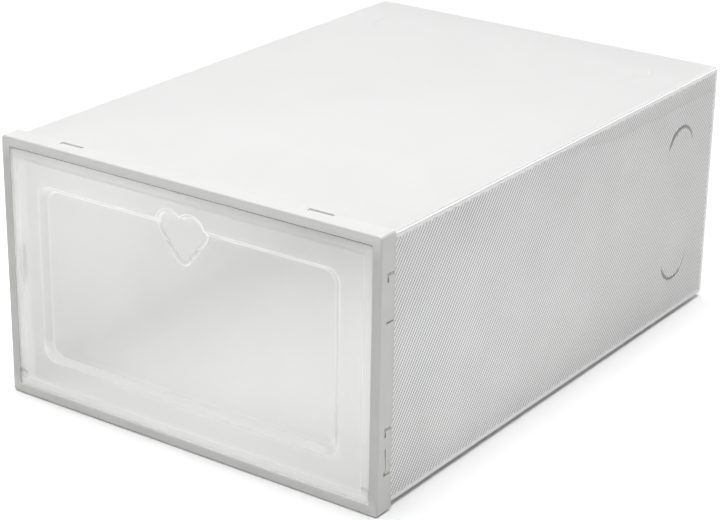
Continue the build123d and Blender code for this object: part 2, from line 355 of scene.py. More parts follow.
def triangulate(loops, points):
    """Triangles through closed outlines and loose points: (corners, faces)."""
    corners, edges = [], []
    for loop in loops:
        first = len(corners)
        corners += [Vector(p) for p in loop]
        edges += [(first + i, first + (i + 1) % len(loop)) for i in range(len(loop))]
    corners += [Vector(p) for p in points]
    made, _, faces, *_ = delaunay_2d_cdt(corners, edges, [], 0, 1e-6)
    return made, faces


def finish_object(name, bm, body):
    """A smooth-shaded object from a bmesh in millimetres, riding on a body."""
    bmesh.ops.recalc_face_normals(bm, faces=bm.faces)
    bmesh.ops.scale(bm, vec=Vector((MM, MM, MM)), verts=bm.verts)
    mesh = bpy.data.meshes.new(name)
    for face in bm.faces:
        face.smooth = True
    bm.to_mesh(mesh)
    bm.free()
    obj = bpy.data.objects.new(name, mesh)
    bpy.context.scene.collection.objects.link(obj)
    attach(obj, body)
    return obj


def relief_slab(name, face, place, thickness):
    """A sheet with relief on its outer face. place(u, v, w) puts a point w mm outside the face."""
    corners, faces = triangulate(face.loops(), face.points())
    bm = bmesh.new()
    layer = bm.verts.layers.float.new(EMBOSS_SHADE_LAYER)
    outer = []
    for c in corners:
        grain = face.grain(c.x, c.y)
        v = bm.verts.new(place(c.x, c.y, grain + face.shape(c.x, c.y)))
        # Emboss height less shade(): the material paints shade and highlight from this value
        v[layer] = grain / EMBOSS_HEIGHT - face.shade(c.x, c.y)
        outer.append(v)
    for triangle in faces:
        bm.faces.new([outer[i] for i in triangle])
    rim = [e for e in bm.edges if len(e.link_faces) == 1]
    flat = {v: c for v, c in zip(outer, corners)}
    inner = {}
    for edge in rim:
        for v in edge.verts:
            if v not in inner:
                c = flat[v]
                inner[v] = bm.verts.new(place(c.x, c.y, -thickness))
    walls = []
    for edge in rim:
        a, b = edge.verts
        bm.faces.new([a, b, inner[b], inner[a]])
        walls.append((inner[a], inner[b]))
    back_edges = [bm.edges.get(pair) for pair in walls]
    made = bmesh.ops.contextual_create(bm, geom=back_edges)
    for face in made["faces"]:
        face.material_index = 1
    return finish_object(name, bm, BODY)


# ---------------------------------------------------------------- sheet sleeve


def emboss_steps(u, v, scale):
    """A point as steps along and across the rows of the emboss."""
    a, b = EMBOSS_ALONG * scale, EMBOSS_ACROSS * scale
    det = a.x * b.y - a.y * b.x
    return (u * b.y - v * b.x) / det, (a.x * v - a.y * u) / det


def emboss_points(low, high, scale, keep):
    """Points at every half step of the emboss inside a rectangle, where keep says so."""
    size = (high[0] - low[0], high[1] - low[1])
    corners = [emboss_steps(x, y, scale) for x in (0.0, size[0]) for y in (0.0, size[1])]
    spans = [range(2 * math.floor(min(c)), 2 * math.ceil(max(c)) + 1) for c in zip(*corners)]
    found = []
    for i in spans[0]:
        for j in spans[1]:
            p = Vector(low) + scale * (EMBOSS_ALONG * i + EMBOSS_ACROSS * j) / 2
            if low[0] < p.x < high[0] and low[1] < p.y < high[1] and keep(p.x, p.y):
                found.append((p.x, p.y))
    return found


def emboss(u, v, scale):
    """Height of the emboss: rising rows, each a string of beads."""
    along, across = emboss_steps(u, v, scale)
    rows = math.cos(math.tau * across)
    beads = math.cos(math.tau * along)
    return EMBOSS_HEIGHT * (ROW_SHARE * rows + (1 - ROW_SHARE) * beads)


class SheetFace:
    """One panel of the sleeve: its outline, its oblong knock-out and its emboss."""

    def __init__(self, low, high, depth_of, vent=None, marks=None, share=1.0, scale=1.0):
        self.low, self.high, self.vent, self.share, self.scale = low, high, vent, share, scale
        self.marks = marks or (lambda u, v: 0.0)
        self.depth_of = depth_of

    def edge_distance(self, u, v):
        return min(u - self.low[0], self.high[0] - u, v - self.low[1], self.high[1] - v)

    def vent_distance(self, u, v):
        if not self.vent:
            return NO_VENT
        return rounded_distance(u, v, self.vent[0], self.vent[1], VENT_RADIUS)

    def grain(self, u, v):
        """Height of the emboss, which fades out at the rim and at the knock-out's cut."""
        near_rim = ramp(self.edge_distance(u, v), EMBOSS_START, EMBOSS_MARGIN)
        clear = ramp(abs(self.vent_distance(u, v) + VENT_MIDDLE), *VENT_CLEAR)
        near_cut = 1 - self.turn(u, v) * (1 - clear)
        height = emboss(u - self.low[0], v - self.low[1], self.scale)
        return self.share * height * near_rim * near_cut

    def turn(self, u, v):
        """0 along the knock-out's straight sides, 1 at the tips of its round ends."""
        if not self.vent:
            return 0.0
        low, high = self.vent
        long_way = 0 if high[0] - low[0] > high[1] - low[1] else 1
        place = (u, v)[long_way]
        nearest = min(max(place, low[long_way] + VENT_RADIUS), high[long_way] - VENT_RADIUS)
        return ramp(abs(place - nearest) / VENT_RADIUS, *VENT_TURN)

    def shade(self, u, v):
        """Painted shade and highlight beside the emboss: darker in the knock-out's cut at its round ends,
        lighter on the ridge.
        """
        groove = bell(self.vent_distance(u, v), -VENT_MIDDLE, VENT_GROOVE_WIDTH)
        return VENT_SHADE * self.share * groove * self.turn(u, v) - self.ridge(u, v)

    def ridge(self, u, v):
        """The raised line that the fold's crease pushes up along each edge: 1 at its top."""
        return bell(self.edge_distance(u, v), RIDGE_INSET, RIDGE_WIDTH)

    def shape(self, u, v):
        """Height of everything but the emboss."""
        inside = self.vent_distance(u, v)
        raised = VENT_RAISE * ramp(inside, *VENT_RISE)
        cut = VENT_CUT * (ramp(inside, *VENT_OUTER_WALL) - ramp(inside, *VENT_INNER_WALL))
        vent = (raised - cut) * self.turn(u, v) * (1.0 if self.share == 1.0 else VENT_ON_TOP)
        ridge = RIDGE_HEIGHT * self.ridge(u, v) * ramp(self.depth_of(u, v), *CREASE_FADE)
        return vent + ridge + self.marks(u, v)

    def loops(self):
        made = []
        for inset in SHEET_EDGE_STEPS:
            x0, y0 = self.low[0] + inset, self.low[1] + inset
            x1, y1 = self.high[0] - inset, self.high[1] - inset
            made.append(divided([(x0, y0), (x1, y0), (x1, y1), (x0, y1)], SHEET_EDGE_SPACING))
        return made

    def points(self):
        def keep(u, v):
            on_cut = abs(self.vent_distance(u, v)) < VENT_KEEP and self.turn(u, v) > 0.0
            return self.edge_distance(u, v) > EMBOSS_EDGE_KEEP and not on_cut

        found = emboss_points(self.low, self.high, self.scale, keep)
        for step in VENT_STEPS if self.vent else ():
            low = (self.vent[0][0] + step, self.vent[0][1] + step)
            high = (self.vent[1][0] - step, self.vent[1][1] - step)
            ring = rounded_rectangle(low, high, VENT_RADIUS - step, UNDIVIDED, VENT_ARC_STEPS)
            found += [p for p in ring if self.turn(*p) > 0.0]
        return found


def first(u, v):
    return u


def second(u, v):
    return v


def nowhere(u, v):
    return CREASE_FADE[0]


def sheet_panels():
    """The panels of the sleeve, each standing for its flat CAD slab."""
    made = {}
    low, high = box_mm("right_panel")
    rear = box_mm("back_panel")[1].y
    vent_y = rear - VENT_FROM_REAR
    side_vent = ((vent_y - VENT_RADIUS, VENT_SIDE_LOW), (vent_y + VENT_RADIUS, VENT_SIDE_HIGH))
    for side, name in ((1, "right_panel"), (-1, "left_panel")):
        outer = high.x
        marks = seam_marks if side > 0 else None
        face = SheetFace((low.y, low.z), (high.y, high.z), first, side_vent, marks)
        made[name] = relief_slab(
            name + "_sheet",
            face,
            lambda u, v, w, s=side: Vector((s * (outer + w), u, v)),
            high.x - low.x,
        )
    low, high = box_mm("top_panel")
    top_vent = ((-VENT_TOP_HALF, vent_y - VENT_RADIUS), (VENT_TOP_HALF, vent_y + VENT_RADIUS))
    corners = ((low.x, low.y), (high.x, high.y))
    face = SheetFace(*corners, second, top_vent, share=TOP_EMBOSS, scale=TOP_COARSER)
    made["top_panel"] = relief_slab(
        "top_panel_sheet",
        face,
        lambda u, v, w: Vector((u, v, high.z + w)),
        high.z - low.z,
    )
    under_low, under_high = box_mm("bottom_panel")
    face = SheetFace((under_low.x, under_low.y), (under_high.x, under_high.y), second, scale=TOP_COARSER)
    made["bottom_panel"] = relief_slab(
        "bottom_panel_sheet",
        face,
        lambda u, v, w: Vector((u, v, under_low.z - w)),
        under_high.z - under_low.z,
    )
    back_low, back_high = box_mm("back_panel")
    face = SheetFace((back_low.x, back_low.z), (back_high.x, back_high.z), nowhere)
    made["back_panel"] = relief_slab(
        "back_panel_sheet",
        face,
        lambda u, v, w: Vector((u, back_high.y + min(w, 0.0), v)),
        back_high.y - back_low.y,
    )
    for node, obj in made.items():
        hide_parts(node)
    return made


def seam_marks(y, z):
    """The pressed line over the seam strip's edge and its two weld spots, on the right panel."""
    if y > SEAM_BEND_Y:
        line = SEAM_REAR_Z + (cad_high.y / MM - y) * SEAM_SLOPE
    else:
        line = SEAM_BEND_Z + SEAM_CLIMB * ramp(-y, *SEAM_CLIMB_Y)
    depth = -SEAM_DEPTH * ramp(y, *SEAM_FADE_Y) * bell(z, line, SEAM_WIDTH)
    for spot_y, spot_z in WELD_SPOTS:
        depth -= WELD_DEPTH * bell(y, spot_y, WELD_HALF_SIZE[0]) * bell(z, spot_z, WELD_HALF_SIZE[1])
    return depth


def crease_profile(fade):
    """Radius of the fold's outside at angles from the side (0) to the top (90)."""
    profile = []
    for i in range(round(90 / CREASE_STEP) + 1):
        angle = CREASE_STEP * i
        ridge = CREASE_RIDGE * sum(bell(angle, at, CREASE_RIDGE_SPREAD) for at in CREASE_RIDGE_ANGLES)
        groove = CREASE_GROOVE * bell(angle, CREASE_GROOVE_ANGLE, CREASE_GROOVE_SPREAD)
        profile.append((math.radians(angle), 1.0 + fade * (ridge - groove)))
    return profile


def long_crease(node, side, top):
    """One fold strip of the sleeve, swept along Y."""
    low, high = box_mm(node)
    size = high.x - low.x
    thick = box_mm("top_panel")[1].z - box_mm("top_panel")[0].z
    corner = Vector((high.x if side > 0 else -low.x, high.z if top else -low.z))
    hub = corner - Vector((size, size))
    bm = bmesh.new()
    rings = []
    stations = [low.y, *CREASE_STATIONS]
    run = high.y - CREASE_FADE[1]
    stations += [CREASE_FADE[1] + run * i / CREASE_LENGTHS for i in range(1, CREASE_LENGTHS + 1)]
    for y in stations:
        fade = ramp(y, *CREASE_FADE)
        outline = [hub + size * r * Vector((math.cos(a), math.sin(a))) for a, r in crease_profile(fade)]
        outline += [
            Vector((hub.x, corner.y - thick)),
            corner - Vector((thick, thick)),
            Vector((corner.x - thick, hub.y)),
        ]
        rings.append([bm.verts.new((side * p.x, y, p.y if top else -p.y)) for p in outline])
    for a, b in zip(rings, rings[1:]):
        for i in range(len(a)):
            j = (i + 1) % len(a)
            bm.faces.new([a[i], a[j], b[j], b[i]])
    bm.faces.new(rings[0])
    bm.faces.new(rings[-1])
    obj = finish_object(node + "_fold", bm, BODY)
    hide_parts(node)
    return obj


# ---------------------------------------------------------------- clear door


def soft_ramp(t, length, rounding):
    """From 0 to 1 over length, straight with rounded ends."""

    def knee(x):
        if x <= -rounding:
            return 0.0
        return x if x >= rounding else (x + rounding) ** 2 / (4 * rounding)

    return (knee(t) - knee(t - length)) / length


class Heart:
    """The finger pull's outline, and distances to it."""

    def __init__(self):
        lobe, foot = HEART_LOBE, Vector((0.0, HEART_FOOT))
        reach = (lobe - foot).length
        side = math.sqrt(reach**2 - HEART_LOBE_RADIUS**2)
        lean = math.atan2(lobe.y - foot.y, lobe.x) - math.atan2(HEART_LOBE_RADIUS, side)
        self.out = Vector((math.sin(lean), -math.cos(lean)))
        self.tip = foot + Vector((0.0, HEART_TIP_RADIUS / math.cos(lean)))
        self.edge = (self.tip + self.out * HEART_TIP_RADIUS, lobe + self.out * HEART_LOBE_RADIUS)
        self.lean = math.degrees(lean) - 90.0
        self.notch = Vector((0.0, lobe.y + math.sqrt(HEART_LOBE_RADIUS**2 - lobe.x**2)))
        self.notch_angle = math.degrees(math.atan2(self.notch.y - lobe.y, -lobe.x))

    def outline(self, inset):
        """The closed outline drawn inset inside the heart, or outside it when negative."""
        radius = HEART_LOBE_RADIUS - inset
        end = self.notch_angle
        if inset < 0:
            end = 180.0 - math.degrees(math.acos(HEART_LOBE.x / radius))
        half = arc(self.tip, HEART_TIP_RADIUS - inset, -90, self.lean, TIP_ARC_STEPS)
        half += arc(HEART_LOBE, radius, self.lean, end, LOBE_ARC_STEPS)
        if inset > 0:
            half += arc(self.notch, inset, self.notch_angle + 180, 270, NOTCH_ARC_STEPS)[1:]
        half[-1] = (0.0, half[-1][1])
        half[0] = (0.0, half[0][1])
        whole = divided(half + [(-x, y) for x, y in half[-2:0:-1]], HEART_SPACING)
        return [(x + HEART_X, y) for x, y in whole]

    def inside(self, x, z):
        """Distance to the outline, positive inside."""
        p = Vector((abs(x - HEART_X), z))
        a, b = self.edge
        run = b - a
        along = min(1.0, max(0.0, (p - a).dot(run) / run.length_squared))
        near = (p - a - run * along).length
        spoke = p - HEART_LOBE
        angle = math.degrees(math.atan2(spoke.y, spoke.x))
        if self.lean <= angle <= self.notch_angle:
            near = min(near, abs(spoke.length - HEART_LOBE_RADIUS))
        near = min(near, (p - self.notch).length)
        spoke = p - self.tip
        if math.degrees(math.atan2(spoke.y, spoke.x)) <= self.lean:
            near = min(near, abs(spoke.length - HEART_TIP_RADIUS))
        in_lobe = (p - HEART_LOBE).length < HEART_LOBE_RADIUS
        within = in_lobe or (p - self.tip).length < HEART_TIP_RADIUS
        if not within:
            inner = (p - a).dot(self.out) < 0
            within = inner and self.tip.y < p.y < self.lobe_line(p.x) and p.x < HEART_LOBE.x + 1
        return near if within else -near

    def lobe_line(self, x):
        """Height of the line from the heart's middle to a lobe's centre."""
        return HEART_LOBE.y if x > 0 else self.notch.y


class DoorSkin:
    """One face of the door as a depth over (x, z), with the outlines that its mesh follows."""

    def __init__(self, low, high, heart, back):
        self.low, self.high, self.heart, self.back = low, high, heart, back
        self.grow = RECESS_WALL if back else 0.0

    def recess_outline(self, s, spacing):
        shrink = RECESS_SLOPE * s - Vector((self.grow, self.grow))
        low, high = RECESS_LOW + shrink, RECESS_HIGH - shrink
        return rounded_rectangle(low, high, RECESS_RADIUS, spacing, RECESS_ARC_STEPS)

    def recess_share(self, x, z):
        """0 at the recess's edge, 1 at the foot of its slope."""
        low, high = SHARE_RANGE
        for _ in range(SHARE_HALVINGS):
            s = (low + high) / 2
            shrink = RECESS_SLOPE * s - Vector((self.grow, self.grow))
            if rounded_distance(x, z, RECESS_LOW + shrink, RECESS_HIGH - shrink, RECESS_RADIUS) > 0:
                low = s
            else:
                high = s
        return s

    def depth(self, x, z):
        from_edge = rounded_distance(x, z, self.low, self.high, DOOR_CORNER)
        share = soft_ramp(self.recess_share(x, z), 1.0, RECESS_ROUNDING)
        heart = self.heart.inside(x, z)
        if self.back:
            base = DOOR_FLAT_BACK + (RECESS_BACK - DOOR_FLAT_BACK) * share
            cup = soft_ramp(heart - BACK_CUP_START, BACK_CUP_WALL, BACK_CUP_ROUNDING)
            round_off = EDGE_ROUND * (1 - ramp(from_edge, 0.0, BACK_EDGE_ROUND)) / 2
            return base + (RECESS_BACK - base) * cup - round_off
        rim = RIM_DROP * (1 - soft_ramp(from_edge - RIM_WIDTH, RIM_SLOPE, RIM_ROUNDING))
        round_off = EDGE_ROUND * (1 - math.sqrt(max(0.0, 1 - (1 - min(1.0, from_edge / EDGE_ROUND)) ** 2)))
        base = DOOR_FRONT + rim + round_off + RECESS_DEPTH * share
        bead = soft_ramp(heart - BEAD_START, BEAD_WALL, BEAD_ROUNDING)
        base += (HEART_TOP - base) * (1 - HEART_SINK) * bead
        cup = soft_ramp(heart - HEART_BEAD + CUP_LEAD, CUP_WALL, CUP_ROUNDING)
        return base + (HEART_FLOOR - base) * cup

    def haze(self, x, z):
        """How milky the plastic looks: more on the border, and most where the surface bends; the milk on
        bends, walls and bead is partly frosting and partly painted highlight, and the extra on the
        recess's lower wall and bend is painted highlight.
        """
        s = self.recess_share(x, z)
        from_edge = rounded_distance(x, z, self.low, self.high, DOOR_CORNER)
        heart = self.heart.inside(x, z)
        border = HAZE_BORDER * (1 - ramp(s, 0.0, 1.0))
        # Painted highlight: the recess's lower wall and bend, which face the light above, get much more
        # milk
        lit_lowness = 1 - ramp(z - RECESS_LOW.y, *HAZE_LOW_FADE)
        wall_haze = HAZE_WALL + (HAZE_LIT_LOW_WALL - HAZE_WALL) * lit_lowness
        bend_haze = HAZE_BEND + (HAZE_LIT_LOW_BEND - HAZE_BEND) * lit_lowness
        wall = wall_haze * ramp(s, *HAZE_WALL_START) * (1 - ramp(s, *HAZE_WALL_END))
        bend = bend_haze * (bell(s, 0.0, HAZE_BEND_SPREAD) + bell(s, 1.0, HAZE_BEND_SPREAD))
        rim = HAZE_RIM * bell(from_edge, RIM_WIDTH + RIM_SLOPE / 2, HAZE_RIM_SPREAD)
        outside = border + wall + bend + rim
        bead = HAZE_BEAD * (bell(heart, 0.0, HAZE_BEAD_SPREAD) + bell(heart, HEART_BEAD, HAZE_CUP_SPREAD))
        within = ramp(heart, BEAD_START, -BEAD_START)
        return outside * (1 - within) + HAZE_HEART * within + bead

    def loops(self):
        made = []
        for step in BACK_EDGE_STEPS if self.back else FACE_EDGE_STEPS:
            inset = Vector((step, step))
            corner = max(DOOR_LEAST_CORNER, DOOR_CORNER - step / 3)
            low, high = self.low + inset, self.high - inset
            made.append(rounded_rectangle(low, high, corner, DOOR_SPACING, DOOR_ARC_STEPS))
        made += [self.recess_outline(share, RECESS_SPACING) for share in RECESS_STEPS]
        steps = BACK_HEART_STEPS if self.back else HEART_STEPS
        made += [self.heart.outline(t) for t in steps]
        return made

    def points(self):
        """A loose grid over the flat parts, so that no triangle is long and thin."""
        found = []
        size = self.high - self.low
        across, up = int(size.x / DOOR_SPACING), int(size.y / DOOR_SPACING)
        for i in range(1, across):
            for j in range(1, up):
                x = self.low.x + size.x * (i + 0.5 * (j % 2)) / across
                z = self.low.y + size.y * j / up
                if rounded_distance(x, z, self.low, self.high, DOOR_CORNER) < DOOR_GRID_INSET:
                    continue
                found.append((x, z))
        return found


def skin_faces(bm, skin, front, layer, index):
    """Adds one skin of the door and returns its vertices."""
    corners, faces = triangulate(skin.loops(), skin.points())
    verts = []
    for c in corners:
        v = bm.verts.new((c.x, front + skin.depth(c.x, c.y), c.y))
        v[layer] = 0.0 if skin.back else skin.haze(c.x, c.y)
        verts.append(v)
    for triangle in faces:
        face = bm.faces.new([verts[i] for i in triangle])
        face.material_index = index
    return verts


def clear_door():
    """The door as a closed clear shell."""
    low, high = box_mm("door")
    frame_low, _ = box_mm("front_frame")
    front = frame_low.y
    half = DOOR_HALF
    corners = (Vector((-half, low.z)), Vector((half, high.z)))
    heart = Heart()
    bm = bmesh.new()
    layer = bm.verts.layers.float.new(HAZE_LAYER)
    outlines = []
    for index, back in enumerate((False, True)):
        skin = DoorSkin(corners[0], corners[1], heart, back)
        verts = skin_faces(bm, skin, front, layer, index)
        outlines.append(verts[: len(skin.loops()[0])])
    for i in range(len(outlines[0])):
        j = (i + 1) % len(outlines[0])
        face = bm.faces.new([outlines[0][i], outlines[0][j], outlines[1][j], outlines[1][i]])
        # Painted shadow: the top edge's faces, under the frame's lip, take the dark material
        face.material_index = 2 if outlines[0][i].co.z > high.z - SHADOWED_TOP_EDGE_BAND else 0
    obj = finish_object("clear_door", bm, DOOR_BODY)
    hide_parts("door")
    return obj


def door_pegs():
    """A moulded boss and a round-ended peg at each lower corner of the door."""
    low, high = box_mm("door")
    reach = high.x
    front = box_mm("front_frame")[0].y
    bm = bmesh.new()
    for side in (-1, 1):
        rings = []
        for x, radius in PEG_PROFILE:
            x = reach - x
            ring = []
            for i in range(PEG_SIDES):
                a = math.tau * i / PEG_SIDES
                y, z = front + PEG_DEPTH + radius * math.cos(a), PEG_Z + radius * math.sin(a)
                ring.append(bm.verts.new((side * x, y, z)))
            rings.append(ring)
        for a, b in zip(rings, rings[1:]):
            for i in range(PEG_SIDES):
                j = (i + 1) % PEG_SIDES
                bm.faces.new([a[i], a[j], b[j], b[i]])
        bm.faces.new(rings[0])
        bm.faces.new(rings[-1])
        outer, inner = DOOR_HALF, DOOR_HALF - BOSS_LENGTH
        corners = [(side * x, front + y, PEG_Z + z) for x in (inner, outer) for y, z in BOSS_SECTION]
        made = bmesh.ops.convex_hull(bm, input=[bm.verts.new(c) for c in corners])
        bmesh.ops.delete(bm, geom=made["geom_unused"] + made["geom_interior"], context="VERTS")
    obj = finish_object("door_pegs", bm, DOOR_BODY)
    soften(obj, PEG_BEVEL)
    return obj


# ---------------------------------------------------------------- catch tabs


def pocket_tabs():
    """The catch tabs in the frame's side pockets, with a bevelled upper edge and a small hole under it."""
    low, high = box_mm("front_frame")
    bm = bmesh.new()
    for side in (-1, 1):
        for centre, plates in ((UPPER_TAB_Z, UPPER_TAB), (LOWER_TAB_Z, LOWER_TAB)):
            for start, end, bottom, top, low_depth, high_depth in plates:
                section = ((TAB_FOOT, bottom), (low_depth, bottom), (high_depth, top), (TAB_FOOT, top))
                places = [(high.x - x, low.y + y, centre + z) for x, z in section for y in (start, end)]
                points = [bm.verts.new((side * x, y, z)) for x, y, z in places]
                made = bmesh.ops.convex_hull(bm, input=points)
                bmesh.ops.delete(bm, geom=made["geom_unused"] + made["geom_interior"], context="VERTS")
    obj = finish_object("pocket_tabs", bm, BODY)
    soften(obj, TAB_BEVEL)
    return obj


# ---------------------------------------------------------------- edges


def soften(obj, width_mm):
    """Rounds an object's sharp edges, as a mould does."""
    weld = obj.modifiers.new("weld", "WELD")
    weld.merge_threshold = 1e-6
    bevel = obj.modifiers.new("edges", "BEVEL")
    bevel.width = width_mm * MM
    bevel.segments = BEVEL_SEGMENTS
    bevel.limit_method = "ANGLE"
    bevel.angle_limit = math.radians(SHARP_ANGLE)
    bevel.harden_normals = True
    normals = obj.modifiers.new("normals", "WEIGHTED_NORMAL")
    normals.keep_sharp = True


# ---------------------------------------------------------------- materials


class Shader:
    """A material's node tree, built one node at a time."""

    def __init__(self, name):
        self.material = bpy.data.materials.new(name)
        self.material.use_nodes = True
        self.tree = self.material.node_tree
        self.tree.nodes.clear()
        self.place = self.add("ShaderNodeTexCoord").outputs["Object"]

    def add(self, kind, inputs=None, **settings):
        node = self.tree.nodes.new(kind)
        for key, value in settings.items():
            setattr(node, key, value)
        for key, value in (inputs or {}).items():
            if isinstance(value, bpy.types.NodeSocket):
                self.tree.links.new(value, node.inputs[key])
            else:
                node.inputs[key].default_value = value
        return node

    def noise(self, size_mm, detail=3.0):
        """Noise whose blotches are about size_mm across."""
        inputs = {"Vector": self.place, "Scale": 1.0 / (size_mm * MM), "Detail": detail}
        return self.add("ShaderNodeTexNoise", inputs).outputs["Fac"]

    def between(self, factor, low, high):
        """factor mapped to a number between low and high."""
        inputs = {"Value": factor, "From Min": 0.3, "From Max": 0.7, "To Min": low, "To Max": high}
        return self.add("ShaderNodeMapRange", inputs).outputs["Result"]

    def span(self, value, start_mm, end_mm, low, high):
        """A number that goes from low to high as a place in metres passes two places in millimetres."""
        inputs = {"Value": value, "From Min": start_mm * MM, "From Max": end_mm * MM}
        inputs |= {"To Min": low, "To Max": high}
        return self.add("ShaderNodeMapRange", inputs).outputs["Result"]

    def tint(self, factor, dark, light):
        """A colour between two tints."""
        ramp_node = self.add("ShaderNodeValToRGB", {"Fac": factor})
        ends = ramp_node.color_ramp.elements
        ends[0].position, ends[1].position = 0.3, 0.7
        ends[0].color, ends[1].color = (*dark, 1.0), (*light, 1.0)
        return ramp_node.outputs["Color"]

    def bump(self, height, strength, depth_mm):
        inputs = {"Height": height, "Strength": strength, "Distance": depth_mm * MM}
        return self.add("ShaderNodeBump", inputs).outputs["Normal"]

    def math(self, operation, *values):
        inputs = dict(enumerate(values))
        return self.add("ShaderNodeMath", inputs, operation=operation, use_clamp=True).outputs["Value"]

    def done(self, surface):
        self.add("ShaderNodeOutputMaterial", {"Surface": surface})
        return self.material


def moulded_white():
    """Satin injection-moulded polypropylene, with painted shade on the front face and outer flanks and a
    painted highlight inside the opening.
    """
    m = Shader("frame_white_plastic")
    place = m.add("ShaderNodeSeparateXYZ", {0: m.place}).outputs
    across = m.add("ShaderNodeMath", {0: place["X"]}, operation="ABSOLUTE").outputs["Value"]
    # Painted shade: the front face darker on its side bands, less on its bottom band, fading out on its
    # top band, and the outer flanks darker; painted highlight: the walls inside the opening lighter
    face = m.math("MULTIPLY", m.span(place["Y"], *SHADED_FACE_Y, 1, 0), m.span(place["Z"], *SHADED_FACE_HIGH_Z, 1, 0))
    face = m.math("MULTIPLY", face, m.span(place["Z"], *SHADED_FACE_LOW_Z, 0.3, 1.0))
    shaded_flank = m.span(across, *SHADED_FLANK_X, 0, 1)
    inner = m.math("MULTIPLY", m.span(place["Y"], *LIT_INNER_Y, 0, 1), m.span(across, *LIT_INNER_X, 1, 0))
    inner = m.math("MULTIPLY", inner, m.span(place["Z"], *LIT_INNER_HIGH_Z, 1, 0))
    inner = m.math("MULTIPLY", inner, m.span(place["Z"], *LIT_INNER_LOW_Z, 0, 1))
    share = m.math("MULTIPLY_ADD", m.noise(26.0, 2.0), 0.05, 0.42)
    share = m.math("MULTIPLY_ADD", face, -0.13, share)
    share = m.math("MULTIPLY_ADD", shaded_flank, -0.135, share)
    share = m.math("MULTIPLY_ADD", inner, 0.25, share)
    inputs = {
        "Base Color": m.tint(share, (0.505, 0.502, 0.494), (0.90, 0.897, 0.886)),
        "Roughness": m.between(m.noise(5.0, 4.0), 0.34, 0.46),
        "IOR": 1.49,
        "Normal": m.bump(m.noise(0.9, 4.0), 0.25, 0.012),
        "Subsurface Weight": 0.12,
        "Subsurface Radius": (0.004, 0.004, 0.0035),
        "Subsurface Scale": 0.4,
    }
    return m.done(m.add("ShaderNodeBsdfPrincipled", inputs).outputs["BSDF"])


def sheet_white(name, dark, light, through):
    """Extruded polypropylene sheet that lets some light through, with painted shade in its embossed
    hollows and the knock-out's cut, and a painted highlight on its ridges.
    """
    m = Shader(name)
    height = m.add("ShaderNodeAttribute", attribute_name=EMBOSS_SHADE_LAYER).outputs["Fac"]
    share = m.math("MULTIPLY_ADD", m.noise(34.0, 3.0), 0.12, 0.52)
    # Painted shade: darker where the layer is low, in the emboss's hollows and the cut; lighter on the
    # ridges, a painted highlight
    share = m.math("MULTIPLY_ADD", height, 0.36, share)
    colour = m.tint(share, dark, light)
    inputs = {
        "Base Color": colour,
        "Roughness": m.between(m.noise(3.0, 4.0), 0.40, 0.54),
        "IOR": 1.49,
        "Normal": m.bump(m.noise(0.7, 5.0), 0.35, 0.014),
    }
    skin = m.add("ShaderNodeBsdfPrincipled", inputs).outputs["BSDF"]
    glow = m.add("ShaderNodeBsdfTranslucent", {"Color": colour}).outputs["BSDF"]
    mixed = m.add("ShaderNodeMixShader", {0: through, 1: skin, 2: glow})
    return m.done(mixed.outputs["Shader"])


def clear_plastic(name, haze, shine, milk_colour, grazing_milk=0.2):
    """Clear polypropylene: see-through with a milky haze and a gloss that grows towards grazing."""
    m = Shader(name)
    ripple = m.bump(m.noise(14.0, 2.0), 0.12, 0.05)
    milk = {
        "Base Color": m.tint(m.noise(60.0, 1.0), milk_colour, tuple(c * 1.03 for c in milk_colour)),
        "Roughness": m.between(m.noise(6.0, 4.0), 0.30, 0.45),
        "Normal": ripple,
    }
    skin = m.add("ShaderNodeBsdfPrincipled", milk).outputs["BSDF"]
    glow = m.add("ShaderNodeBsdfTranslucent", {"Color": (*milk_colour, 1.0)}).outputs["BSDF"]
    skin = m.add("ShaderNodeMixShader", {0: 0.35, 1: skin, 2: glow}).outputs["Shader"]
    pane = m.add("ShaderNodeBsdfTransparent", {"Color": (0.985, 0.988, 0.987, 1.0)}).outputs["BSDF"]
    satin = m.between(m.noise(6.0, 4.0), 0.08, 0.15)
    gloss = {"Color": (1.0, 1.0, 1.0, 1.0), "Roughness": satin, "Normal": ripple}
    gloss = m.add("ShaderNodeBsdfGlossy", gloss).outputs["BSDF"]
    edge = m.add("ShaderNodeLayerWeight", {"Blend": 0.5}).outputs["Facing"]
    # Milk by place from the door's layer, partly painted highlight
    place = m.add("ShaderNodeAttribute", attribute_name=HAZE_LAYER).outputs["Fac"]
    share = m.math("MULTIPLY_ADD", m.noise(40.0, 2.0), 0.04, haze)
    share = m.math("ADD", share, place)
    share = m.math("MULTIPLY_ADD", edge, grazing_milk, share)
    mirror = m.math("MULTIPLY_ADD", m.math("POWER", edge, 5.0), 0.95, 0.045)
    mirror = m.math("MULTIPLY", mirror, shine)
    body = m.add("ShaderNodeMixShader", {0: share, 1: pane, 2: skin}).outputs["Shader"]
    return m.done(m.add("ShaderNodeMixShader", {0: mirror, 1: body, 2: gloss}).outputs["Shader"])


def studio_floor():
    m = Shader("studio_floor")
    inputs = {
        "Base Color": m.tint(m.noise(900.0, 2.0), (0.90, 0.90, 0.90), (0.92, 0.92, 0.92)),
        "Roughness": 0.9,
        "Specular IOR Level": 0.1,
    }
    return m.done(m.add("ShaderNodeBsdfPrincipled", inputs).outputs["BSDF"])


def grey(level):
    return (level, level * 1.002, level * 0.996)


def dress(obj, material):
    """Gives every slot of an object one material."""
    if not obj.material_slots:
        obj.data.materials.append(material)
    for slot in obj.material_slots:
        slot.link = "OBJECT"
        slot.material = material


# ---------------------------------------------------------------- studio


